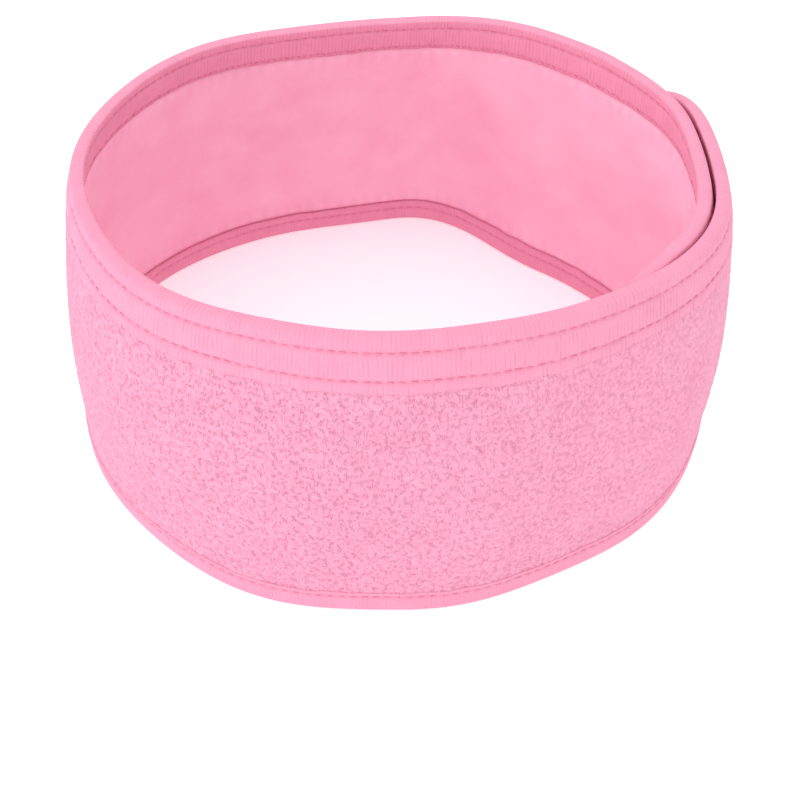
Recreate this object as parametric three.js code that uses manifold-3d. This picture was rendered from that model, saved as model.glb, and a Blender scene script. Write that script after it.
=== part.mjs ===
// Spa headband: a sewn strip of terry cloth and lining with rounded ends, closed into a ring by a
// hook patch and a loop patch. Millimetres, +Z up, the ring stands on its narrow edge tape.
// A place on the strip is (s, height, offset): s runs along the strip from the outer end's tip,
// height runs up from the lower edge, and offset runs outwards from the middle of the cloth.
import * as THREE from "three";
import { mergeVertices } from "three/addons/utils/BufferGeometryUtils.js";
import Module from "manifold-3d";

// the flat strip
const stripLength = 600;
const stripWidth = 85;

// the closed ring
const overlap = 116; // how far the outer end lies over the inner end
const ovalStretch = 0.121; // how much longer than round the plan is, as a share of its mean radius
const ovalTwist = 0.025; // the same for the diagonal
const ovalTriple = -0.01; // a third of a turn's share, which flattens the fastened side
const ovalSquare = -0.012; // a quarter of a turn's share
const outerTipAngle = 45; // degrees from +X, where the outer end's tip lies
const outerDraw = 3.8; // how far the outer end is drawn in by the fastening
const outerDrawRun = 60; // the length past the overlap in which that eases out
const innerStepRun = 58; // the length in which the inner layer steps in under the outer tip
const edgeSpread = 11.2; // how far the lower edge stands outside the upper edge
const tuckSpread = -3; // the same at the middle of the tuck, where the lower edge is drawn in
const tuckAngle = 46; // degrees from +X, the tuck's middle
const tuckHalfAngle = 50;
const frontSpread = 15.7; // the same at the middle of the front, which slopes most
const frontAngle = -90;
const frontHalfAngle = 60;

// the cloth
const terryThickness = 2.15;
const liningThickness = 1.3;

// the edge tapes
const tapeThickness = 0.75;
const tapeProud = 0.1; // how far a tape's face stands above the cloth beside it
const topTapeDepth = 12.8;
const narrowTapeDepth = 7.2;
const tapeChamfer = 0.7;

// the seams
const threadWidth = 0.4;
const upperSeamDepth = 3;
const lowerSeamDepth = 9.8;
const narrowSeamDepth = 5.5;
const grooveDepth = 0.45;
const grooveHalfWidth = 0.75;

// the hook and loop patches
const patchLength = 60;
const patchWidth = 25;
const patchThickness = 1.2;
const patchBorder = 3; // the plain edge that the stitching runs on
const borderThickness = 0.55;
const hookFromTip = 40;
const loopFromTip = 42;
const patchCornerRadius = 2.5;

// the ends that swing: each bends where it is a little past its patch and the overlap
const bendMargin = 14;

// clearances and fineness
const gap = 0.25;
const layerGap = 0.4;
const stationStep = 7.5;
const wallRows = 6; // a cloth layer's facets from its lower to its upper edge
const patchRows = 2;
const arcSteps = 18;
const pathStep = 0.5;

const fastenedLength = stripLength - overlap; // once round, along the middle of the cloth at mid-height
const endLength = Math.max(overlap, hookFromTip + patchLength, loopFromTip + patchLength) + bendMargin;
const clothHalf = (terryThickness + gap + liningThickness) / 2;
const liningFace = -clothHalf;
const liningBack = liningFace + liningThickness;
const terryBack = liningBack + gap;
const terryFace = clothHalf;
const tapeFace = clothHalf + tapeProud;
const tapeBack = tapeFace - tapeThickness;
const underTape = tapeBack - gap;
const layerOffset = 2 * (clothHalf + gap + patchThickness) + layerGap;
const endRadius = stripWidth / 2;

const pink = (hex, roughness) => new THREE.MeshStandardMaterial({ color: hex, roughness, metalness: 0 });
const finishes = {
  terry: pink(0xf9aecb, 0.95),
  lining: pink(0xf79fbe, 0.9),
  tape: pink(0xf8a6c4, 0.8),
  thread: pink(0xe98bb0, 0.6),
  hook: pink(0x6b6260, 0.6),
  loop: pink(0xf3f0f0, 0.9),
};

const wasm = await Module();
wasm.setup();

// ---------- the ring's plan ----------

// The oval's shape before it is scaled: its radius at an angle, for a mean radius of 1.
function ovalRadius(angle) {
  return 1 + ovalStretch * Math.cos(2 * angle) + ovalTwist * Math.sin(2 * angle)
    + ovalTriple * Math.cos(3 * angle) + ovalSquare * Math.sin(4 * angle);
}

// The oval's length once round, for a mean radius of 1.
function ovalLength() {
  const steps = 720;
  let length = 0;
  for (let i = 0; i < steps; i += 1) {
    const a = (2 * Math.PI * i) / steps;
    const b = (2 * Math.PI * (i + 1)) / steps;
    const ax = ovalRadius(a) * Math.cos(a);
    const ay = ovalRadius(a) * Math.sin(a);
    const bx = ovalRadius(b) * Math.cos(b);
    const by = ovalRadius(b) * Math.sin(b);
    length += Math.hypot(bx - ax, by - ay);
  }
  return length;
}

const meanRadius = fastenedLength / ovalLength();

// How far the strip lies inside the oval after an angle turned clockwise from the outer tip: the
// outer end is drawn in a little, and the inner layer steps in further, under the outer end.
function inset(turned) {
  const eased = THREE.MathUtils.smoothstep(turned - overlap / meanRadius, 0, outerDrawRun / meanRadius);
  const beforeTip = 2 * Math.PI - turned - 0.05;
  const stepped = 1 - THREE.MathUtils.smoothstep(beforeTip, 0, innerStepRun / meanRadius);
  return outerDraw * (1 - eased) + (outerDraw + layerOffset) * stepped;
}

// 1 at a middle angle, in degrees from +X, easing to 0 at a half angle on either side of it.
function lobe(angle, middleAngle, halfAngle) {
  const away = Math.acos(Math.cos(angle - THREE.MathUtils.degToRad(middleAngle)));
  const share = Math.min(away / THREE.MathUtils.degToRad(halfAngle), 1);
  return (1 + Math.cos(Math.PI * share)) / 2;
}

// How far the lower edge stands outside the upper edge at an angle from +X.
function spreadAt(angle) {
  return edgeSpread + (tuckSpread - edgeSpread) * lobe(angle, tuckAngle, tuckHalfAngle)
    + (frontSpread - edgeSpread) * lobe(angle, frontAngle, frontHalfAngle);
}

// A point of the strip's middle line in plan, after an angle turned clockwise from the outer tip.
function middlePoint(turned) {
  const angle = THREE.MathUtils.degToRad(outerTipAngle) - turned;
  const radius = meanRadius * ovalRadius(angle) - inset(turned);
  return new THREE.Vector2(radius * Math.cos(angle), radius * Math.sin(angle));
}

// The middle line as points a fixed length apart, from the outer tip to the inner tip.
function middleLine() {
  const points = [middlePoint(0)];
  const fine = pathStep / meanRadius / 10;
  let turned = 0;
  let sinceLast = 0;
  let last = points[0];
  while (points.length * pathStep < stripLength + 2 * pathStep) {
    turned += fine;
    const next = middlePoint(turned);
    sinceLast += next.distanceTo(last);
    last = next;
    if (sinceLast >= pathStep) {
      points.push(next);
      sinceLast -= pathStep;
    }
  }
  return points;
}

const middle = middleLine();

// The middle line's point and outward direction at a distance s from the outer tip.
function planAt(s) {
  const place = THREE.MathUtils.clamp(s / pathStep, 0, middle.length - 1.001);
  const index = Math.floor(place);
  const point = middle[index].clone().lerp(middle[index + 1], place - index);
  const before = middle[Math.max(index - 3, 0)];
  const after = middle[Math.min(index + 4, middle.length - 1)];
  const along = after.clone().sub(before).normalize();
  return { point, outward: new THREE.Vector2(-along.y, along.x) };
}

// A place on the strip as a point in space. The wall leans: its lower edge stands out.
function onStrip(s, height, offset) {
  const { point, outward } = planAt(s);
  const out = offset + spreadAt(point.angle()) * (0.5 - height / stripWidth);
  return new THREE.Vector3(point.x + outward.x * out, point.y + outward.y * out, height);
}

// ---------- solids ----------

// Six times the signed volume of an indexed geometry, negative if its faces point in.
function signedVolume(positions, index) {
  const a = new THREE.Vector3();
  const b = new THREE.Vector3();
  const c = new THREE.Vector3();
  let total = 0;
  for (let i = 0; i < index.length; i += 3) {
    a.fromArray(positions, 3 * index[i]);
    b.fromArray(positions, 3 * index[i + 1]);
    c.fromArray(positions, 3 * index[i + 2]);
    total += a.dot(b.cross(c));
  }
  return total;
}

// One closed solid: a section, given as [depth, offset] points, carried through stations. A station
// is a function from (depth, offset) to a point in space. A closed run joins its last station to its first.
function sweep(stations, section, closed = false) {
  const contour = section.map(([depth, offset]) => new THREE.Vector2(depth, offset));
  const count = section.length;
  const positions = [];
  for (const station of stations) {
    for (const [depth, offset] of section) positions.push(...station(depth, offset).toArray());
  }
  const index = [];
  const spans = closed ? stations.length : stations.length - 1;
  for (let i = 0; i < spans; i += 1) {
    const next = (i + 1) % stations.length;
    for (let j = 0; j < count; j += 1) {
      const k = (j + 1) % count;
      index.push(i * count + j, next * count + j, next * count + k);
      index.push(i * count + j, next * count + k, i * count + k);
    }
  }
  if (!closed) {
    const far = (stations.length - 1) * count;
    const turns = Math.sign(THREE.ShapeUtils.area(contour));
    for (const [p, q, r] of THREE.ShapeUtils.triangulateShape(contour, [])) {
      const sameTurn = turns * THREE.ShapeUtils.area([contour[p], contour[q], contour[r]]) > 0;
      const [second, third] = sameTurn ? [q, r] : [r, q];
      index.push(p, second, third);
      index.push(far + p, far + third, far + second);
    }
  }
  const geometry = new THREE.BufferGeometry();
  geometry.setAttribute("position", new THREE.Float32BufferAttribute(positions, 3));
  if (signedVolume(positions, index) < 0) index.reverse();
  geometry.setIndex(index);
  return geometry;
}

function toManifold(geometry) {
  const bare = geometry.clone();
  bare.deleteAttribute("normal");
  bare.deleteAttribute("uv");
  const merged = mergeVertices(bare, 1e-5);
  const vertProperties = new Float32Array(merged.attributes.position.array);
  const triVerts = new Uint32Array(merged.index.array);
  return new wasm.Manifold(new wasm.Mesh({ numProp: 3, vertProperties, triVerts }));
}

function fromManifold(solid) {
  const mesh = solid.getMesh();
  const geometry = new THREE.BufferGeometry();
  geometry.setAttribute("position", new THREE.BufferAttribute(new Float32Array(mesh.vertProperties), 3));
  geometry.setIndex(new THREE.BufferAttribute(new Uint32Array(mesh.triVerts), 1));
  return geometry;
}

// Distances from a to b, evenly spaced and no further apart than stationStep.
function spaced(a, b) {
  const count = Math.max(1, Math.ceil(Math.abs(b - a) / stationStep));
  return Array.from({ length: count + 1 }, (_, i) => a + ((b - a) * i) / count);
}

// ---------- edges that tapes and seams follow ----------

const topStation = (s) => (depth, offset) => onStrip(s, stripWidth - depth, offset);
const bottomStation = (s) => (depth, offset) => onStrip(s, depth, offset);

// A station on a rounded end's rim. The angle is 90 degrees at the top edge, 0 at the tip.
function endStation(angle, atInnerEnd) {
  return (depth, offset) => {
    const fromTip = endRadius - (endRadius - depth) * Math.cos(angle);
    const height = endRadius + (endRadius - depth) * Math.sin(angle);
    return onStrip(atInnerEnd ? stripLength - fromTip : fromTip, height, offset);
  };
}

// The narrow tape's run on an end: round the rim from the top edge, then along the bottom edge.
function endRun(split, atInnerEnd) {
  const stations = [];
  for (let i = 0; i <= arcSteps; i += 1) {
    stations.push(endStation(Math.PI / 2 - (Math.PI * i) / arcSteps, atInnerEnd));
  }
  const start = atInnerEnd ? stripLength - endRadius : endRadius;
  return stations.concat(spaced(start, split).slice(1).map(bottomStation));
}

// ---------- cloth ----------

// Stations for a cloth layer, denser towards a rounded end, with the layer's two edge heights.
// rim is how far the layer keeps inside the strip's outline, topDepth how far below the top edge.
function clothRun(from, to, rim, topDepth) {
  const radius = endRadius - rim;
  const straightTop = stripWidth - topDepth;
  const endTurns = [88, 80, 70, 60, 50, 40, 30, 20, 10, 0];
  const rows = [];
  const roundEnd = (atInnerEnd) => endTurns.map((degrees) => {
    const turn = THREE.MathUtils.degToRad(degrees);
    const fromTip = endRadius - radius * Math.sin(turn);
    const rise = radius * Math.cos(turn);
    return {
      s: atInnerEnd ? stripLength - fromTip : fromTip,
      low: endRadius - rise,
      high: endRadius + rise,
    };
  });
  const straight = (a, b) => spaced(a, b).map((s) => ({ s, low: rim, high: straightTop }));
  const pastEnd = endRadius + gap;
  if (from <= 0) rows.push(...roundEnd(false), ...straight(pastEnd, to));
  else if (to >= stripLength) rows.push(...straight(from, stripLength - pastEnd), ...roundEnd(true).reverse());
  else rows.push(...straight(from, to));
  return rows;
}

// A cloth layer between two offsets, with a count of facets from its lower to its upper edge.
function clothLayer(rows, innerOffset, outerOffset, facets) {
  const shares = Array.from({ length: facets + 1 }, (_, i) => i / facets);
  const section = shares.map((share) => [share, innerOffset])
    .concat(shares.reverse().map((share) => [share, outerOffset]));
  const stations = rows.map(({ s, low, high }) => (share, offset) => (
    onStrip(s, low + (high - low) * share, offset)));
  return sweep(stations, section);
}

// The whole cloth: a thin sheet out to the folds of the tapes, and its full thickness between them.
function cloth(from, to, back, thinFace, fullFace) {
  const middleOffset = (back + thinFace) / 2;
  const rim = tapeThickness + gap;
  const sheet = clothLayer(clothRun(from, to, rim, rim), back, thinFace, wallRows);
  const body = clothLayer(
    clothRun(from, to, narrowTapeDepth + gap, topTapeDepth + gap), middleOffset, fullFace, wallRows);
  return fromManifold(toManifold(sheet).add(toManifold(body)));
}

// ---------- tapes and seams ----------

// The section of a tape folded over an edge, with a groove for each seam in both of its limbs.
function tapeSection(depth, seamDepths) {
  const limb = (side) => {
    const points = [[tapeChamfer, side * tapeFace]];
    for (const seam of seamDepths) {
      points.push([seam - grooveHalfWidth, side * tapeFace]);
      points.push([seam, side * (tapeFace - grooveDepth)]);
      points.push([seam + grooveHalfWidth, side * tapeFace]);
    }
    points.push([depth, side * tapeFace], [depth, side * tapeBack]);
    return points;
  };
  const outside = limb(1);
  const inside = limb(-1);
  return [
    [0, -tapeFace + tapeChamfer], ...inside,
    [tapeThickness, -tapeBack], [tapeThickness, tapeBack],
    ...outside.reverse(), [0, tapeFace - tapeChamfer],
  ];
}

// A seam's thread: a slim square rod on edge, lying in its groove.
function threadSection(depth, side) {
  const half = threadWidth / 2;
  const centre = side * tapeFace;
  return [[depth - half, centre], [depth, centre - half], [depth + half, centre], [depth, centre + half]];
}

// ---------- patches ----------

// Stations round a rounded rectangle on the strip, inset from the patch's edge, each facing inwards.
function rectangleRun(centre, length, width, radius) {
  const stations = [];
  const straightHalf = length / 2 - radius;
  const riseHalf = width / 2 - radius;
  const corners = [[1, 1, 0], [-1, 1, 90], [-1, -1, 180], [1, -1, 270]];
  const add = (s, height, turn) => stations.push((depth, offset) => onStrip(
    s + (radius - depth) * Math.cos(turn), height + (radius - depth) * Math.sin(turn), offset));
  corners.forEach(([alongSide, upSide, startTurn], corner) => {
    const s = centre + alongSide * straightHalf;
    const height = endRadius + upSide * riseHalf;
    for (const step of [0, 45, 90]) add(s, height, THREE.MathUtils.degToRad(startTurn + step));
    if (corner % 2 === 0) {
      const run = spaced(s, centre - alongSide * straightHalf).slice(1, -1);
      for (const place of run) add(place, height, THREE.MathUtils.degToRad(startTurn + 90));
    }
  });
  return stations;
}

// A patch: a plain border with a thicker field of hooks or loops in the middle. side is 1 outwards.
function patch(centre, side) {
  const back = clothHalf + gap;
  const plate = (length, width, from, to) => {
    const rows = spaced(centre - length / 2, centre + length / 2);
    const low = endRadius - width / 2;
    return clothLayer(
      rows.map((s) => ({ s, low, high: low + width })), side * (back + from), side * (back + to),
      patchRows);
  };
  const border = plate(patchLength, patchWidth, 0, borderThickness);
  const field = plate(
    patchLength - 2 * patchBorder, patchWidth - 2 * patchBorder, borderThickness / 2, patchThickness);
  return fromManifold(toManifold(border).add(toManifold(field)));
}

// The stitching round a patch: one closed thread in the middle of the plain border.
function patchStitching(centre, side) {
  const half = threadWidth / 2;
  const edge = patchBorder / 2;
  const offset = side * (clothHalf + gap + patchThickness - half);
  const section = [[edge - half, offset], [edge, offset - half], [edge + half, offset], [edge, offset + half]];
  return sweep(rectangleRun(centre, patchLength, patchWidth, patchCornerRadius), section, true);
}

// ---------- the headband ----------

const headband = new THREE.Group();

function addPiece(name, geometry, finish) {
  const faceted = geometry.toNonIndexed();
  faceted.computeVertexNormals();
  const mesh = new THREE.Mesh(faceted, finishes[finish]);
  mesh.name = name;
  headband.add(mesh);
}

function addCloth(body, from, to) {
  addPiece(`terry_${body}`, cloth(from, to, terryBack, underTape, terryFace), "terry");
  addPiece(`lining_${body}`, cloth(from, to, liningBack, -underTape, liningFace), "lining");
}

// A tape along a run, and the outside and inside threads of each of its seams.
function addTape(tapeName, seamNames, body, run, depth, seamDepths) {
  addPiece(`${tapeName}_${body}`, sweep(run, tapeSection(depth, seamDepths)), "tape");
  seamDepths.forEach((seamDepth, i) => {
    addPiece(`${seamNames[i]}_outside_${body}`, sweep(run, threadSection(seamDepth, 1)), "thread");
    addPiece(`${seamNames[i]}_inside_${body}`, sweep(run, threadSection(seamDepth, -1)), "thread");
  });
}

function addTopTape(body, from, to) {
  const run = spaced(from, to).map(topStation);
  addTape("top_tape", ["top_upper_seam", "top_lower_seam"], body, run, topTapeDepth,
    [upperSeamDepth, lowerSeamDepth]);
}

function addNarrowTape(body, run) {
  addTape("edge_tape", ["edge_seam"], body, run, narrowTapeDepth, [narrowSeamDepth]);
}

const outerSplit = endLength;
const innerSplit = stripLength - endLength;
const splitHalf = layerGap / 2;

function addBand() {
  const from = outerSplit + splitHalf;
  const to = innerSplit - splitHalf;
  addCloth("band", from, to);
  addTopTape("band", from, to);
  addNarrowTape("band", spaced(from, to).map(bottomStation));
}

function addOuterEnd() {
  const to = outerSplit - splitHalf;
  addCloth("outer_end", 0, to);
  addTopTape("outer_end", endRadius + gap, to);
  addNarrowTape("outer_end", endRun(to, false));
  const centre = hookFromTip + patchLength / 2;
  addPiece("hook_patch", patch(centre, -1), "hook");
  addPiece("hook_patch_stitching", patchStitching(centre, -1), "thread");
}

function addInnerEnd() {
  const from = innerSplit + splitHalf;
  addCloth("inner_end", from, stripLength);
  addTopTape("inner_end", from, stripLength - endRadius - gap);
  addNarrowTape("inner_end", endRun(from, true));
  const centre = stripLength - loopFromTip - patchLength / 2;
  addPiece("loop_patch", patch(centre, 1), "loop");
  addPiece("loop_patch_stitching", patchStitching(centre, 1), "thread");
}

addBand();
addOuterEnd();
addInnerEnd();

// The origin is under the middle of the ring's box, on the surface that it stands on.
const box = new THREE.Box3().setFromObject(headband);
const middleOfBox = box.getCenter(new THREE.Vector3());
headband.position.set(-middleOfBox.x, -middleOfBox.y, -box.min.z);

export default headband;
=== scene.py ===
import math

import bpy
import numpy as np
from mathutils import Matrix, Vector


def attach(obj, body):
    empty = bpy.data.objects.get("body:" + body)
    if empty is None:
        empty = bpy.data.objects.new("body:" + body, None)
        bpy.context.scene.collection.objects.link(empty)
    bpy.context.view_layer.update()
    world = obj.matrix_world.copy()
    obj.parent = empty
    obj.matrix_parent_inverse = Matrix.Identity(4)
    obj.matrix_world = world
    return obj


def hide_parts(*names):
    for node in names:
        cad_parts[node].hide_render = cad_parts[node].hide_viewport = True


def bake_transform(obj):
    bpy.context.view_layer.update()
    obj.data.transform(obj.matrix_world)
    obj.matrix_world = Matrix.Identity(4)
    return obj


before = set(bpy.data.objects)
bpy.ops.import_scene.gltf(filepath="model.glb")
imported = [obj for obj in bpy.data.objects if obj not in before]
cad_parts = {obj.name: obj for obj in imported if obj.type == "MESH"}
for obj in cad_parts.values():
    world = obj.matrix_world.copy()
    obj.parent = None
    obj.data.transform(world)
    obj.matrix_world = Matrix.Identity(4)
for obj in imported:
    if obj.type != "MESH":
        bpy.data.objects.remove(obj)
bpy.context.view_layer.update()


# ---------- the terry face ----------
# Pink towelling with short cut-and-looped nubs, cut as a strip with round ends and closed into a
# ring. It is the ring's outer face. Its edges run under the tapes, which press the pile down.

strip_length = 0.600
strip_width = 0.085
overlap = 0.116
end_radius = strip_width / 2
oval_shares = (0.121, 0.025, -0.010, -0.012)
outer_tip_angle = math.radians(45)
outer_draw = 0.0038
outer_draw_run = 0.060
layer_step = 0.0070
inner_step_run = 0.058
edge_spread = 0.0112
tuck_spread = -0.0030
tuck_angle = math.radians(46)
tuck_half_angle = math.radians(50)
front_spread = 0.0157
front_angle = math.radians(-90)
front_half_angle = math.radians(60)
tip_slack = 0.05
walk_turn = 8.4
wall_bulge = 0.0031
top_closing = 0.0026
closing_height, closing_rise = 0.058, 0.020
closing_start, closing_run = 0.478, 0.030
ring_centre = (0.00270, 0.00141)
outer_bend = 0.130
inner_bend = strip_length - outer_bend
outer_cut = 0.175
inner_cut = strip_length - outer_cut


def eased(x):
    """The smooth step 3x^2 - 2x^3 of x, held between 0 and 1."""
    x = np.clip(x, 0, 1)
    return x * x * (3 - 2 * x)


def lobe(angle, middle, half):
    """1 at a middle angle, easing to 0 at a half angle on either side of it."""
    away = np.abs(np.angle(np.exp(1j * (angle - middle)))) / half
    return 0.5 + 0.5 * np.cos(math.pi * np.minimum(away, 1))


def oval_radius(angle):
    """One plus a share each of cos 2a, sin 2a, cos 3a and sin 4a."""
    long, twist, triple, square = oval_shares
    return (1 + long * np.cos(2 * angle) + twist * np.sin(2 * angle)
            + triple * np.cos(3 * angle) + square * np.sin(4 * angle))


def walk_the_ring():
    """The strip's middle line in plan: an oval, clockwise from the outer end's tip. The outer end
    is drawn in a little, and the inner end steps in under it. Gives length, x, y and outward."""
    round_once = np.linspace(0, 2 * math.pi, 2881)
    x = oval_radius(round_once) * np.cos(round_once)
    y = oval_radius(round_once) * np.sin(round_once)
    mean = (strip_length - overlap) / np.hypot(np.diff(x), np.diff(y)).sum()
    turned = np.linspace(0, walk_turn, 8401)
    drawn = 1 - eased((turned * mean - overlap) / outer_draw_run)
    stepped = 1 - eased((2 * math.pi - tip_slack - turned) * mean / inner_step_run)
    angle = outer_tip_angle - turned
    radius = mean * oval_radius(angle) - outer_draw * drawn - (outer_draw + layer_step) * stepped
    x, y = radius * np.cos(angle), radius * np.sin(angle)
    length = np.concatenate([[0], np.cumsum(np.hypot(np.diff(x), np.diff(y)))])
    along_x, along_y = np.gradient(x, length), np.gradient(y, length)
    return length, x, y, -along_y, along_x


ring = walk_the_ring()


def on_strip(s, height, offset):
    """The place at a length s along the strip from the outer tip, a height and an offset outwards.
    The wall leans and waves gently round the ring. It bulges as a parabola of its height, squared
    in the lower half. Above the patches, the inner end's top closes on the outer end."""
    length, ring_x, ring_y, out_x, out_y = ring
    s, height, offset = np.broadcast_arrays(s, height, offset)
    x, y, nx, ny = (np.interp(s, length, values) for values in (ring_x, ring_y, out_x, out_y))
    angle = np.arctan2(y, x)
    up = height / strip_width
    lean = (edge_spread + (tuck_spread - edge_spread) * lobe(angle, tuck_angle, tuck_half_angle)
            + (front_spread - edge_spread) * lobe(angle, front_angle, front_half_angle)) * (0.5 - up)
    wave = 0.0004 * np.sin(5 * angle + 2.4 * up) + 0.0003 * np.sin(9 * angle - 3.1 * up + 1)
    closing = (top_closing * eased((height - closing_height) / closing_rise)
               * eased((s - closing_start) / closing_run))
    swell = 4 * up * (1 - up)
    swell = np.where(up < 0.5, swell ** 2, swell)
    out = offset + lean + wall_bulge * swell + wave + closing
    return np.stack([x + nx * out + ring_centre[0], y + ny * out + ring_centre[1], height], -1)


def drift(along, across, cell, seed):
    """Smooth random numbers from -1 to 1: a lattice of random values joined by eased steps."""
    lattice = np.random.default_rng(seed).uniform(-1, 1, (64, 64))
    i, j = np.floor(along / cell), np.floor(across / cell)
    u, v = eased(along / cell - i), eased(across / cell - j)
    i, j = i.astype(int), j.astype(int)
    pick = lambda a, b: lattice[(i + a) % 64, (j + b) % 64]
    return ((pick(0, 0) * (1 - u) + pick(1, 0) * u) * (1 - v)
            + (pick(0, 1) * (1 - u) + pick(1, 1) * u) * v)


def pebbles(along, across, cell, seed):
    """Heights from 0 to 1 of a field of turned, stretched half eggs, one near each lattice point,
    where the highest egg over a place counts."""
    shares = np.random.default_rng(seed).uniform(0, 1, (6, 128, 128))
    i, j = np.floor(along / cell).astype(int), np.floor(across / cell).astype(int)
    height = np.zeros(np.shape(along))
    for a in (-1, 0, 1):
        for b in (-1, 0, 1):
            across_share, along_share, turn, size, rise, stretch = shares[:, (i + a) % 128, (j + b) % 128]
            dx = along / cell - (i + a) - along_share
            dy = across / cell - (j + b) - across_share
            turn = 0.9 + 1.5 * (turn - 0.5)
            u = dx * np.cos(turn) + dy * np.sin(turn)
            v = dy * np.cos(turn) - dx * np.sin(turn)
            reach = 0.55 + 0.35 * size
            far = (u / (reach * (1.15 + 0.5 * stretch))) ** 2 + (v / (reach * 0.8)) ** 2
            height = np.maximum(height, (0.55 + 0.45 * rise) * np.sqrt(np.maximum(1 - far, 0)))
    return height


def make_piece(name, places, finish, flipped=False, **values):
    """A mesh of a grid of places, with a face between each four of them, and a named number or
    vector at each vertex for every further value."""
    rows, columns = places.shape[:2]
    corner = np.arange(rows * columns).reshape(rows, columns)
    faces = np.stack([corner[:-1, :-1], corner[:-1, 1:], corner[1:, 1:], corner[1:, :-1]], -1)
    return make_mesh(name, places, faces[..., ::-1] if flipped else faces, finish, **values)


def make_mesh(name, places, faces, finish, **values):
    """An object of places and four-cornered faces, smooth, at the origin."""
    mesh = bpy.data.meshes.new(name)
    mesh.from_pydata(places.reshape(-1, 3), [], faces.reshape(-1, 4))
    mesh.shade_smooth()
    for key, value in values.items():
        vector = np.shape(value)[-1] == 3 and np.ndim(value) == places.ndim
        kind, field = ("FLOAT_VECTOR", "vector") if vector else ("FLOAT", "value")
        attribute = mesh.attributes.new(key, kind, "POINT")
        attribute.data.foreach_set(field, np.ascontiguousarray(value, np.float32).ravel())
    mesh.materials.append(finish.material)
    piece = bpy.data.objects.new(name, mesh)
    bpy.context.collection.objects.link(piece)
    return piece


def bend_with(piece, part):
    """The middle stays with the band. An end's piece only has its transform baked into its mesh; it is not
    bent.
    """
    if part == "middle":
        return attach(piece, "band")
    s, side = (outer_bend, -1) if part == "outer" else (inner_bend, 1)
    here, ahead = on_strip(s, end_radius, 0), on_strip(s + side * 0.001, end_radius, 0)
    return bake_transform(piece)


class Number:
    """A shader socket that takes arithmetic: each operation adds a Math node."""

    def __init__(self, finish, socket):
        self.finish, self.socket = finish, socket

    def maths(self, operation, first, second):
        return self.finish.add("ShaderNodeMath", {"operation": operation}, {0: first, 1: second})

    def __add__(self, other): return self.maths("ADD", self, other)
    def __radd__(self, other): return self.maths("ADD", other, self)
    def __sub__(self, other): return self.maths("SUBTRACT", self, other)
    def __rsub__(self, other): return self.maths("SUBTRACT", other, self)
    def __mul__(self, other): return self.maths("MULTIPLY", self, other)
    def __rmul__(self, other): return self.maths("MULTIPLY", other, self)
    def __abs__(self): return self.maths("ABSOLUTE", self, 0.0)


class Finish:
    """A material, its Principled shader, and one way to add any node."""

    def __init__(self, name, **constants):
        self.material = bpy.data.materials.new(name)
        self.material.use_nodes = True
        self.tree = self.material.node_tree
        self.shader = self.tree.nodes["Principled BSDF"]
        for socket, value in constants.items():
            self.shader.inputs[socket.replace("_", " ")].default_value = value

    def fill(self, socket, value):
        if isinstance(value, Number):
            self.tree.links.new(value.socket, socket)
        else:
            socket.default_value = value

    def add(self, kind, settings=None, inputs=None, output=0):
        node = self.tree.nodes.new(kind)
        for key, value in (settings or {}).items():
            setattr(node, key, value)
        for key, value in (inputs or {}).items():
            self.fill(node.inputs[key], value)
        return Number(self, node.outputs[output])

    def read(self, name, output="Fac"):
        return self.add("ShaderNodeAttribute", {"attribute_name": name}, output=output)

    def noise(self, vector, scale, detail=2.0, stretch=(1, 1, 1)):
        """Noise from 0 to 1 on the strip's own places, with a scale in waves per metre."""
        scaled = self.add("ShaderNodeVectorMath", {"operation": "MULTIPLY"},
                          {0: vector, 1: tuple(scale * share for share in stretch)})
        return self.add("ShaderNodeTexNoise", {}, {"Vector": scaled, "Scale": 1.0, "Detail": detail})

    def ramp(self, value, dark, light):
        """0 below dark, 1 above light, straight between."""
        return self.add("ShaderNodeMapRange", {}, {"Value": value, "From Min": dark, "From Max": light})

    def blend(self, share, first, second):
        return self.add("ShaderNodeMix", {"data_type": "RGBA"}, {0: share, 6: first, 7: second}, output=2)

    def colour(self, value):
        self.fill(self.shader.inputs["Base Color"], value)

    def bump(self, height, depth, strength=1.0):
        """A bump of a height from 0 to 1 and a depth in metres."""
        self.fill(self.shader.inputs["Normal"], self.add(
            "ShaderNodeBump", {}, {"Strength": strength, "Distance": depth, "Height": height}))


def pink(r, g, b):
    """A colour from screen values of 0 to 255."""
    return tuple(((v / 255 + 0.055) / 1.055) ** 2.4 for v in (r, g, b)) + (1.0,)


terry = Finish("terry pile", Roughness=0.95, Sheen_Weight=0.08, Sheen_Roughness=0.5,
               Sheen_Tint=pink(255, 200, 220), Specular_IOR_Level=0.15)
place = terry.read("strip_place", "Vector")
pile = terry.read("pile")
fibres = terry.noise(place, 2300, 3.0, (1.2, 0.8, 1))
tufts = terry.noise(place, 1000, 2.0, (1.6, 0.6, 1))
patches = terry.noise(place, 90, 2.0)
broken = terry.ramp(terry.noise(place, 900, 1.0, (1, 0.8, 1)), 0.42, 0.60)
brushed = terry.ramp(terry.add("ShaderNodeSeparateXYZ", {}, {0: place}), 0.06, 0.20) * 0.65 + 0.35
# The colour follows the relief: the crinkles and the low pile between the nubs are painted shade, and the nub
# tops are painted highlight. The fibres and patches are the cloth's own random tone.
crinkle = (1 - terry.ramp(abs(tufts - 0.5), 0.0, 0.09)) * broken * brushed
fluff = (pile - 0.5) * 0.4 + (fibres - 0.5) * 0.9 * brushed + (patches - 0.5) * 0.25
lit = terry.ramp(fluff - crinkle * 0.42 + 0.68, 0.0, 1.0)
terry.colour(terry.blend(lit, pink(218, 130, 162), pink(244, 173, 199)))
terry.bump(fibres * 0.35 + tufts * 0.2 - crinkle * 0.4 + 0.5, 0.0005, 0.85)

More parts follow.
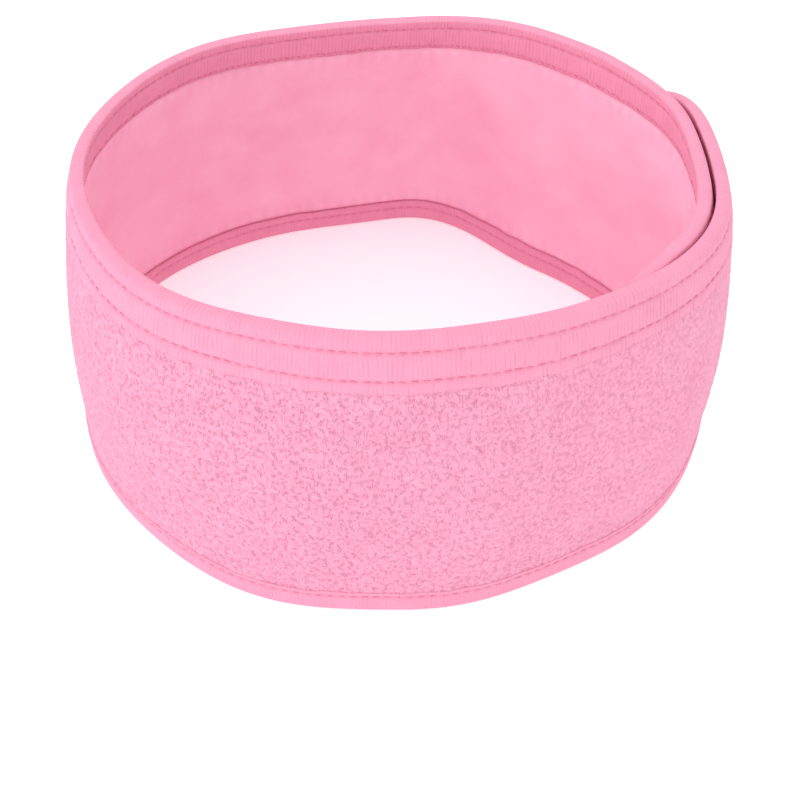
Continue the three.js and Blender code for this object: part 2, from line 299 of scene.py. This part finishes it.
pile_spacing = 0.00045
pile_depth = 0.00028
terry_face = 0.00160
terry_edge_face = 0.0014
nub_cell, nub_height_share = 0.0009, 1.5
press_start, press_run = -0.0002, 0.0012
top_tape_run_in = 0.012


def cloth_places(part, rim, top_depth, spacing):
    """Lengths and heights of a grid over one part of the strip. Its columns run up the cloth, and
    at a round end they follow the arc. Also how far inside its taped edge each place lies, which
    is below zero under the start of the top tape."""
    rise_radius = end_radius - rim
    count = int(rise_radius * math.pi / 2 / spacing)
    turn = np.linspace(0.02, math.pi / 2, count)
    if part == "middle":
        s = np.linspace(outer_cut, inner_cut, int((inner_cut - outer_cut) / spacing) + 1)
        reach = np.full(s.shape, rise_radius)
    else:
        run = outer_cut - end_radius
        straight = end_radius + np.linspace(0, run, int(run / spacing) + 1)[1:]
        s = np.concatenate([end_radius - rise_radius * np.cos(turn), straight])
        reach = np.concatenate([rise_radius * np.sin(turn), np.full(straight.shape, rise_radius)])
    bottom = end_radius - reach
    taped = np.where(s > end_radius + 1e-6, strip_width - top_depth, end_radius + reach)
    top = end_radius + reach - (top_depth - rim) * eased((s - end_radius) / top_tape_run_in)
    rows = np.linspace(0, 1, int((strip_width - rim - top_depth) / spacing) + 1)
    height = bottom[:, None] + (top - bottom)[:, None] * rows
    s = np.broadcast_to(s[:, None], height.shape)
    in_round = rise_radius - np.hypot(np.minimum(s - end_radius, 0), height - end_radius)
    inside = np.minimum(in_round, np.minimum(height - rim, taped[:, None] - height))
    if part == "inner":
        s, height, inside = strip_length - s[::-1], height[::-1], inside[::-1]
    return s, height, inside


def strip_place(s, height, offset=0):
    return np.stack(np.broadcast_arrays(s, height, offset), -1)


narrow_outside = 0.0072
top_outside = 0.0128
under_tape = 0.0012
node_of = {"middle": "band", "outer": "outer_end", "inner": "inner_end"}
for part, flat, area in (("middle", (0.250, 0.0686), None),
                         ("outer", (0.170, 0.0804), 0.0118), ("inner", (0.170, 0.0804), 0.0118)):
    s, height, inside = cloth_places(part, narrow_outside - under_tape, top_outside - under_tape,
                                     pile_spacing)
    nubs = pebbles(s, height / nub_height_share, nub_cell, 7) * (0.75 + 0.25 * drift(s, height, 0.006, 8))
    nubs = nubs + 0.25 * drift(s, height, 0.0009, 9)
    pressed = eased((inside - press_start) / press_run)
    offset = terry_edge_face + (terry_face - terry_edge_face + pile_depth * nubs) * pressed
    # The pile value also sets the painted shade and highlight in the terry's colour.
    piece = make_piece(f"terry_{part}", on_strip(s, height, offset), terry,
                       strip_place=strip_place(s, height), pile=nubs * pressed)
    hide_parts(f"terry_{node_of[part]}")
    bend_with(piece, part)


# ---------- the lining ----------
# A thinner pink cloth with a brushed nap, the ring's inner face. It is cut to the same strip and
# laid on the terry's back. It puckers a little where the tapes hold it and creases where it bends.

lining = Finish("brushed lining", Roughness=0.9, Sheen_Weight=0.08, Sheen_Roughness=0.6,
                Sheen_Tint=pink(255, 190, 215), Specular_IOR_Level=0.15)
place = lining.read("strip_place", "Vector")
crease = lining.read("crease")
nap = lining.noise(place, 1500, 3.0, (1, 2.2, 1))
cloudy = lining.noise(place, 95, 3.0)
# The crease value also colours the cloth: the crests of the soft creases and puckers are painted highlight,
# and their hollows are painted shade. The cloudy and nap noise is the cloth's own random tone.
lit = lining.ramp(crease * 0.5 + (cloudy - 0.5) * 0.9 + (nap - 0.5) * 0.35 + 0.5, 0.1, 0.9)
lining.colour(lining.blend(lit, pink(248, 178, 204), pink(254, 197, 218)))
lining.bump(nap * 0.6 + lining.noise(place, 420, 2.0) * 0.4, 0.00025, 0.7)

lining_face = -0.00165
narrow_inside = 0.0085
top_inside = 0.0106
for part, flat, area in (("middle", (0.250, 0.0683), None),
                         ("outer", (0.168, 0.0782), 0.0116), ("inner", (0.168, 0.0782), 0.0116)):
    s, height, inside = cloth_places(part, narrow_inside - under_tape, top_inside - under_tape, 0.0009)
    soft = (drift(s, height, 0.022, 21) * 0.6 + drift(s + 0.4 * height, height, 0.009, 22) * 0.3
            + drift(s - 0.6 * height, height, 0.0045, 23) * 0.15)
    pucker = np.sin(2 * math.pi * s / 0.0042 + 3 * drift(s, height, 0.012, 24))
    near_edge = np.exp(-((inside - 0.0035) / 0.0025) ** 2)
    crease = soft + 0.3 * pucker * near_edge
    pressed = eased(inside / 0.003)
    offset = -0.0009 + (lining_face + 0.0009 - 0.00045 * crease) * pressed
    # The crease value stored here also sets the painted shade and highlight of the colour.
    piece = make_piece(f"lining_{part}", on_strip(s, height, offset), lining, flipped=True,
                       strip_place=strip_place(s, height), crease=crease * pressed)
    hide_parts(f"lining_{node_of[part]}")
    bend_with(piece, part)


# ---------- the narrow edge tape ----------
# A ribbed pink knit tape, folded over the lower edge and both round ends and sewn through once.
# Its ribs cross it every 0.9 mm, and the seam pulls a shallow channel near its free edge.

tape = Finish("ribbed tape", Roughness=0.85, Sheen_Weight=0.06, Sheen_Roughness=0.5,
              Sheen_Tint=pink(255, 195, 215), Specular_IOR_Level=0.2)
place = tape.read("strip_place", "Vector")
rib = tape.read("rib")
yarn = tape.noise(place, 2600, 2.0)
worn = tape.noise(place, 170, 2.0)
# Painted shade: the valleys between the ribs and the seam channels are coloured darker. The yarn and worn
# noise is the knit's own random tone.
lit = tape.ramp(rib + (yarn - 0.5) * 0.4 + (worn - 0.5) * 0.4, 0.0, 1.0)
tape.colour(tape.blend(lit, pink(214, 126, 158), pink(241, 161, 188)))
tape.bump(yarn, 0.00018, 0.6)

tape_face = 0.00195
arc_length = math.pi * end_radius
straight_length = strip_length - 2 * end_radius
narrow_length = 2 * arc_length + straight_length


def on_narrow_edge(t, depth):
    """Length and height of a place that lies a depth in from the edge, at t along the edge from the
    top of the outer end: a half circle, the straight lower edge, and a half circle."""
    turn = math.pi / 2 - np.minimum(t, arc_length) / end_radius
    last = math.pi / 2 - np.minimum(narrow_length - t, arc_length) / end_radius
    reach = end_radius - depth
    s = np.where(t < arc_length, end_radius - reach * np.cos(turn),
                 np.where(t > arc_length + straight_length, strip_length - end_radius + reach * np.cos(last),
                          end_radius + t - arc_length))
    height = np.where(t < arc_length, end_radius + reach * np.sin(turn),
                      np.where(t > arc_length + straight_length, end_radius + reach * np.sin(last), depth))
    return s, height


def rib_valleys(t, pitch, seed, depth):
    """Creases from 0 to 1 between a knit's ribs: a narrow bell where the sine of the place along
    is near zero, deeper at some ribs than at others and fading along each."""
    narrow = np.exp(-(np.sin(math.pi * t / pitch) / 0.33) ** 2)
    uneven = 0.62 + 0.38 * drift(t, 0 * t + depth * 0.35, pitch, seed)
    return narrow * np.clip(uneven + 0.3 * drift(t, 0 * t + depth, 0.0022, seed + 1), 0, 1)


fold_thinning = 0.0003


def folded_section(outside, inside, half, outside_count, inside_count):
    """A tape's section as depths and offsets: turned under at its outer free edge, up the outside,
    over the fold as a half ellipse, down the inside, and turned under again. Also the side, 1 on
    the outside and -1 on the inside, easing over the fold."""
    fold = 0.0008
    turn = np.linspace(0, math.pi, 13)
    out_depth = np.linspace(outside, fold, outside_count)[:-1]
    in_depth = np.linspace(fold, inside, inside_count)[1:]
    depth = np.concatenate([[outside - 0.0004, outside - 0.00005], out_depth,
                            fold - fold * np.sin(turn) ** 0.7, in_depth,
                            [inside - 0.00005, inside - 0.0004]])
    side = np.concatenate([[0.45, 0.75], np.ones(out_depth.shape),
                           np.sign(np.cos(turn)) * np.abs(np.cos(turn)) ** 0.7,
                           -np.ones(in_depth.shape), [-0.75, -0.45]])
    return depth, side * (half - fold_thinning * (1 - eased((depth - 0.0004) / 0.0042)))


narrow_seam = 0.0055
narrow_rib = 0.0009
depth, offset = folded_section(narrow_outside, narrow_inside, tape_face, 18, 16)
for part, start, end in (("outer", 0, arc_length + outer_cut - end_radius),
                         ("middle", arc_length + outer_cut - end_radius, arc_length + inner_cut - end_radius),
                         ("inner", arc_length + inner_cut - end_radius, narrow_length)):
    t = np.linspace(start, end, int((end - start) / 0.00016) + 1)[:, None]
    slip = 0.0006 * drift(t, 0 * t, 0.011, 31) + 0.00025 * drift(t, 0 * t + depth, 0.003, 32)
    valleys = rib_valleys(t + slip, narrow_rib, 36, depth)
    channel = np.exp(-((depth - narrow_seam) / 0.0006) ** 2)
    gather = drift(t, 0 * t + depth, 0.0031, 33) * np.exp(-((depth - narrow_seam) / 0.002) ** 2)
    lift = -0.00009 * valleys * (1 - channel) - 0.00022 * channel + 0.00006 * gather
    free = np.where(depth > narrow_seam, eased((depth - narrow_seam) / 0.0014), 0)
    lift = lift + 0.00003 * free + 0.00006 * np.sin(math.pi * np.clip(depth / narrow_seam, 0, 1))
    wander = 0.00022 * drift(t, 0 * t, 0.0045, 34) * (depth / narrow_outside) ** 2
    s, height = on_narrow_edge(t, depth + wander)
    full = offset * (1 + lift / tape_face)
    # The stored rib value darkens the rib valleys and the seam channel, as painted shade.
    piece = make_piece(f"edge_tape_{part}", on_strip(s, height, full), tape, flipped=True,
                       strip_place=strip_place(t, depth, offset),
                       rib=0.85 - 0.45 * valleys * (1 - channel) - 0.3 * channel)
    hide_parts(f"edge_tape_{node_of[part]}")
    bend_with(piece, part)


# ---------- the wide top tape ----------
# A wider tape of the same knit, folded over the upper edge and sewn through twice. The seams part
# it into three rows of ribs, which gather between the stitches, and its free edge flares a little.

upper_seam = 0.0030
lower_seam = 0.0098
top_rib = 0.00105
top_start, top_end = end_radius - 0.0002, strip_length - end_radius + 0.0002
depth, offset = folded_section(top_outside, top_inside, tape_face, 34, 26)
row = (depth > upper_seam).astype(float) + (depth > lower_seam)
for part, start, end in (("outer", top_start, outer_cut), ("middle", outer_cut, inner_cut),
                         ("inner", inner_cut, top_end)):
    s = np.linspace(start, end, int((end - start) / 0.0002) + 1)[:, None]
    slip = (0.0007 * drift(s, 0 * s + row * 0.1, 0.013, 41) + 0.00018 * drift(s, 0 * s + depth, 0.0035, 42)
            + 0.37 * top_rib * row)
    valleys = rib_valleys(s + slip, top_rib, 46, depth)
    upper = np.exp(-((depth - upper_seam) / 0.0006) ** 2)
    lower = np.exp(-((depth - lower_seam) / 0.0006) ** 2)
    channel = np.maximum(upper, lower)
    near = np.maximum(np.exp(-((depth - upper_seam) / 0.0016) ** 2),
                      np.exp(-((depth - lower_seam) / 0.0019) ** 2))
    gather = drift(s + 0.2 * depth, 0 * s + depth * 0.5, 0.0024, 43)
    rows_up = np.where(depth < upper_seam, np.sin(math.pi * np.clip(depth / upper_seam, 0, 1)),
                       np.where(depth < lower_seam,
                                np.sin(math.pi * (depth - upper_seam) / (lower_seam - upper_seam)),
                                0.4 * eased((depth - lower_seam) / 0.0016)))
    lift = (-0.00013 * valleys * (1 - channel) - 0.00026 * channel + 0.0001 * gather * near
            + 0.00014 * rows_up)
    wander = 0.00035 * drift(s, 0 * s, 0.0038, 44) * (depth / top_outside) ** 3
    full = offset * (1 + lift / tape_face)
    height = strip_width - depth - wander
    # The stored rib value darkens the rib valleys and the seam channels, as painted shade.
    piece = make_piece(f"top_tape_{part}", on_strip(s, height, full), tape,
                       strip_place=strip_place(s, depth, offset),
                       rib=0.85 - 0.45 * valleys * (1 - channel) - 0.3 * channel)
    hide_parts(f"top_tape_{node_of[part]}")
    bend_with(piece, part)


# ---------- the seams ----------
# Pink thread, locked through the tapes and the cloth in stitches about 2.2 mm long. Each stitch
# sinks at its ends into the channel that it pulls. The top tape's lower seam loops on the inside.

thread = Finish("sewing thread", Roughness=0.6, Sheen_Weight=0.1, Specular_IOR_Level=0.3)
place = thread.read("strip_place", "Vector")
ply = thread.noise(place, 2400, 1.0, (1, 3, 3))
# The thread is pink, and it is coloured a little darker than the tape as painted shade of the stitch holes.
thread.colour(thread.blend(thread.ramp(ply, 0.3, 0.7), pink(220, 122, 154), pink(233, 143, 171)))
thread.bump(ply, 0.0001, 0.5)

stitch_pitch, looper_pitch = 0.0026, 0.0018
stitch_fill = 0.42
thread_radius = 0.00019
stitch_bow = 0.00022
stitch_sink = 0.00016
looper_slant = 0.0006
seam_end_gap = 0.001
stitch_round = np.arange(6) * math.pi / 3
stitch_along = np.linspace(-0.97, 0.97, 7)


def stitch_shape(half_length, thickness):
    """One stitch as a closed spindle: along, across and up, round sections whose radius is the
    square root of one minus the fourth power of the share along, bowed up in the middle."""
    share = stitch_along[:, None]
    radius = thickness * np.sqrt(np.maximum(1 - share ** 4, 0))
    along = half_length * share + 0 * stitch_round
    across = radius * np.cos(stitch_round)
    up = radius * np.sin(stitch_round) - stitch_bow * share ** 2
    return along, across, up


def make_tubes(name, places, finish, **values):
    """Closed tubes as one mesh. places carries (tubes, along, round) to points: sides that wrap
    round, and flat ends of four-cornered faces, all facing outwards."""
    count, rows, columns = places.shape[:3]
    corner = np.arange(count * rows * columns).reshape(count, rows, columns)
    ahead = np.roll(corner, -1, 2)
    faces = [np.stack([corner[:, :-1], ahead[:, :-1], ahead[:, 1:], corner[:, 1:]], -1).reshape(-1, 4)]
    for i in range(1, columns - 1, 2):
        faces += [corner[:, 0, [i + 2, i + 1, i, 0]], corner[:, -1, [0, i, i + 1, i + 2]]]
    faces = np.concatenate(faces)
    a, b, c, d = np.moveaxis(places.reshape(-1, 3)[faces] - places.reshape(-1, 3).mean(0), 1, 0)
    volume = np.sum(a * (np.cross(b, c) + np.cross(c, d)))
    return make_mesh(name, places, faces[:, ::-1] if volume < 0 else faces, finish, **values)


def sew(name, start, end, pitch, seam_depth, lengthwise, side, slant=0.0):
    """Stitches from start to end along a seam: lengthwise(t, across) gives length and height."""
    count = max(1, int(round((end - start) / pitch)))
    middle = start + (np.arange(count) + 0.5) * (end - start) / count
    along, across, up = stitch_shape(pitch * stitch_fill, thread_radius)
    flip = np.where(np.arange(count) % 2, 1, -1)[:, None, None]
    t = middle[:, None, None] + along
    sway = across + slant * flip * stitch_along[:, None]
    s, height = lengthwise(t, sway)
    thinned = fold_thinning * (1 - eased((seam_depth - 0.0004) / 0.0042))
    offset = side * (tape_face - thinned - stitch_sink + up)
    places = on_strip(s, height, np.broadcast_to(offset, s.shape))
    return make_tubes(name, places, thread, strip_place=strip_place(t, sway, 0))


narrow_cut = arc_length + outer_cut - end_radius
narrow_seam_runs = (("outer", seam_end_gap, narrow_cut),
                    ("middle", narrow_cut, narrow_length - narrow_cut),
                    ("inner", narrow_length - narrow_cut, narrow_length - seam_end_gap))
top_seam_runs = (("outer", top_start + seam_end_gap, outer_cut), ("middle", outer_cut, inner_cut),
                 ("inner", inner_cut, top_end - seam_end_gap))
for part, start, end in narrow_seam_runs:
    for face, side in (("outside", 1), ("inside", -1)):
        piece = sew(f"edge_seam_{face}_{part}", start, end, stitch_pitch, narrow_seam,
                    lambda t, across: on_narrow_edge(t, narrow_seam + across), side)
        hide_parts(f"edge_seam_{face}_{node_of[part]}")
        bend_with(piece, part)
for seam, seam_depth in (("upper", upper_seam), ("lower", lower_seam)):
    for part, start, end in top_seam_runs:
        for face, side in (("outside", 1), ("inside", -1)):
            slant = looper_slant if (seam, face) == ("lower", "inside") else 0.0
            pitch = looper_pitch if slant else stitch_pitch
            piece = sew(f"top_{seam}_seam_{face}_{part}", start, end, pitch, seam_depth,
                        lambda s, across: (s, strip_width - seam_depth - across), side, slant)
            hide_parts(f"top_{seam}_seam_{face}_{node_of[part]}")
            bend_with(piece, part)


# ---------- the hook patch ----------
# A woven nylon tape with rows of small moulded hooks, sewn round its edge to the lining of the
# outer end, 40 mm from the tip. Dark grey, 60 by 25 mm.

patch_length, patch_width, patch_border = 0.060, 0.025, 0.003
cloth_face = 0.00185
hook_centre = 0.040 + patch_length / 2

hook_tape = Finish("hook tape", Roughness=0.55, Specular_IOR_Level=0.4)
place = hook_tape.read("strip_place", "Vector")
weave = hook_tape.noise(place, 1800, 1.0, (1, 3, 1))
hook_tape.colour(hook_tape.blend(weave, pink(84, 78, 76), pink(126, 118, 114)))
hook_tape.bump(weave, 0.0002, 0.6)


def patch_base(name, centre, side, finish, field_rise):
    """A patch's woven tape: a grid over the rectangle with rounded corners, flat on its border,
    raised in the middle by field_rise, and turned down at its rim."""
    u = np.linspace(-1, 1, 121)[:, None]
    v = np.linspace(-1, 1, 51)[None, :]
    corner = 0.0025
    x = u * patch_length / 2
    limit = patch_width / 2 - corner + np.sqrt(np.maximum(
        corner ** 2 - np.maximum(np.abs(x) - patch_length / 2 + corner, 0) ** 2, 0))
    y = v * limit
    from_edge = np.minimum(patch_length / 2 - np.abs(x), limit - np.abs(y))
    rise = 0.00055 * eased(from_edge / 0.0003) + field_rise(x + 0 * y, y) * eased(
        (from_edge - patch_border) / 0.0005)
    places = on_strip(centre + x + 0 * y, end_radius + y, side * (cloth_face + 0.00005 + rise))
    return make_piece(name, places, finish, flipped=side < 0,
                      strip_place=strip_place(x + 0 * y, y, 0))


def rods(name, x, y, path_along, path_across, path_up, radius, finish, centre, side):
    """Bent rods standing on a patch, one at each (x, y): square in section along a path of places
    given by along, across and up from the rod's foot."""
    turn = np.arange(4) * math.pi / 2
    along = x[:, None, None] + path_along[..., None] + radius * np.cos(turn)
    across = y[:, None, None] + path_across[..., None] + radius * np.sin(turn)
    up = np.broadcast_to(path_up[..., None], along.shape)
    places = on_strip(centre + along, end_radius + across, side * (cloth_face + up))
    return make_tubes(name, places, finish, strip_place=strip_place(along, across, up))


hook_patch = patch_base("hook_patch_tape", hook_centre, -1, hook_tape, lambda x, y: 0.0 * x)
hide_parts("hook_patch")
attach(hook_patch, "outer_end")
field = np.meshgrid(np.linspace(-0.0262, 0.0262, 36), np.linspace(-0.0088, 0.0088, 13), indexing="ij")
x, y = (values.ravel() for values in field)
x = x + np.where(np.arange(x.size) % 2, 0.0003, -0.0003)
climb = np.linspace(0, 1, 7)
hooks = rods("hooks", x, y,
             np.broadcast_to(0.00042 * climb ** 2.2, (x.size, 7)), np.zeros((x.size, 7)),
             np.broadcast_to(0.0005 + 0.00068 * np.sin(np.minimum(climb, 0.999) * math.pi * 0.68),
                             (x.size, 7)),
             0.00013, hook_tape, hook_centre, -1)
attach(hooks, "outer_end")


# ---------- the loop patch ----------
# The same size of woven tape with a brushed field of fine white loops, sewn to the terry of the
# inner end, 42 mm from its tip, where it meets the hooks.

loop_centre = strip_length - 0.042 - patch_length / 2
loop_tape = Finish("loop tape", Roughness=0.9, Sheen_Weight=0.4, Sheen_Roughness=0.5)
place = loop_tape.read("strip_place", "Vector")
fluff = loop_tape.noise(place, 1300, 3.0)
loop_tape.colour(loop_tape.blend(fluff, pink(214, 206, 208), pink(250, 248, 248)))
loop_tape.bump(fluff, 0.0004, 0.8)

loop_patch = patch_base("loop_patch_tape", loop_centre, 1, loop_tape,
                        lambda x, y: 0.0002 + 0.00022 * pebbles(x + 0.1, y + 0.1, 0.0008, 51))
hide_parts("loop_patch")
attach(loop_patch, "inner_end")
scatter = np.random.default_rng(52)
loop_count = 1500
x = scatter.uniform(-0.0265, 0.0265, loop_count)
y = scatter.uniform(-0.009, 0.009, loop_count)
heading = scatter.uniform(0, 2 * math.pi, loop_count)[:, None]
size = scatter.uniform(0.6, 1.0, loop_count)[:, None]
bow = np.linspace(0, math.pi, 7)
loops = rods("loops", x, y, 0.0005 * size * np.cos(bow) * np.cos(heading),
             0.0005 * size * np.cos(bow) * np.sin(heading), 0.0006 + 0.00045 * size * np.sin(bow),
             0.00005, loop_tape, loop_centre, 1)
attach(loops, "inner_end")


# ---------- the patches' stitching ----------
# One row of stitches round each patch, in the middle of its plain border.

def round_patch(t, across):
    """A place at t along a rectangle's four sides, across inwards from it, from its first corner."""
    long, wide = patch_length - patch_border, patch_width - patch_border
    side_of = np.digitize(t, [long, long + wide, 2 * long + wide])
    start = np.choose(side_of, [0, long, long + wide, 2 * long + wide])
    u = t - start
    x = np.choose(side_of, [u - long / 2, long / 2 - across, long / 2 - u, across - long / 2])
    y = np.choose(side_of, [across - wide / 2, u - wide / 2, wide / 2 - across, wide / 2 - u])
    return x, y


patch_stitch_rise = 0.00072
patch_stitch_pitch = 0.0024
round_length = 2 * (patch_length + patch_width - 2 * patch_border)
for name, centre, side, body in (("hook_patch_stitching", hook_centre, -1, "outer_end"),
                                 ("loop_patch_stitching", loop_centre, 1, "inner_end")):
    count = int(round_length / patch_stitch_pitch)
    middle = (np.arange(count) + 0.5) * round_length / count
    along, across, up = stitch_shape(0.00095, 0.0002)
    x, y = round_patch(middle[:, None, None] + along, across)
    offset = np.broadcast_to(side * (cloth_face + patch_stitch_rise + up), x.shape)
    places = on_strip(centre + x, end_radius + y, offset)
    piece = make_tubes(name, places, thread, strip_place=strip_place(x, y, 0))
    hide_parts(name)
    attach(piece, body)


# ---------- the floor, the light and the camera ----------
# A plain white table under even, soft studio light from a white world, from above and from the front left.

floor_finish = Finish("white table", Roughness=0.9)
floor_finish.colour((0.95, 0.95, 0.95, 1))
floor_finish.fill(floor_finish.shader.inputs["Emission Color"], (1, 1, 1, 1))
floor_finish.fill(floor_finish.shader.inputs["Emission Strength"], 0.30)
span = np.linspace(-2.5, 2.5, 3)
floor = make_piece("floor", np.stack(np.broadcast_arrays(span[:, None], span, -0.0002), -1),
                   floor_finish, flipped=True)

world = bpy.data.worlds.new("studio")
world.use_nodes = True
world.node_tree.nodes["Background"].inputs["Color"].default_value = (1, 1, 1, 1)
world.node_tree.nodes["Background"].inputs["Strength"].default_value = 0.98
bpy.context.scene.world = world
bpy.context.scene.view_settings.view_transform = "Standard"


def softbox(name, place, aim, size, power):
    """A square area light at a place, facing a point."""
    light = bpy.data.lights.new(name, "AREA")
    light.energy, light.size = power, size
    lamp = bpy.data.objects.new(name, light)
    lamp.location = place
    lamp.rotation_euler = (Vector(aim) - Vector(place)).to_track_quat("-Z", "Y").to_euler()
    bpy.context.collection.objects.link(lamp)


softbox("key", (-0.95, -0.55, 0.5), (0, 0, 0.03), 0.8, 3.6)
softbox("top", (0.1, 0.1, 1.2), (0, 0, 0), 1.0, 2.5)

aim = Vector((0.0027, 0.00141, 0.0425))
elevation = math.radians(45.05)
roll = math.radians(2.19)
camera_distance = 0.30497
back = Vector((0, -math.cos(elevation), math.sin(elevation)))
view = bpy.data.cameras.new("camera")
view.lens = 50.7105
view.shift_x = -0.0091
view.shift_y = -0.1536
camera = bpy.data.objects.new("camera", view)
bpy.context.collection.objects.link(camera)
turn = ((-back).to_track_quat("-Z", "Y").to_matrix().to_4x4()
        @ Matrix.Rotation(roll, 4, "Z"))
camera.matrix_world = Matrix.Translation(aim + back * camera_distance) @ turn
bpy.context.scene.camera = camera
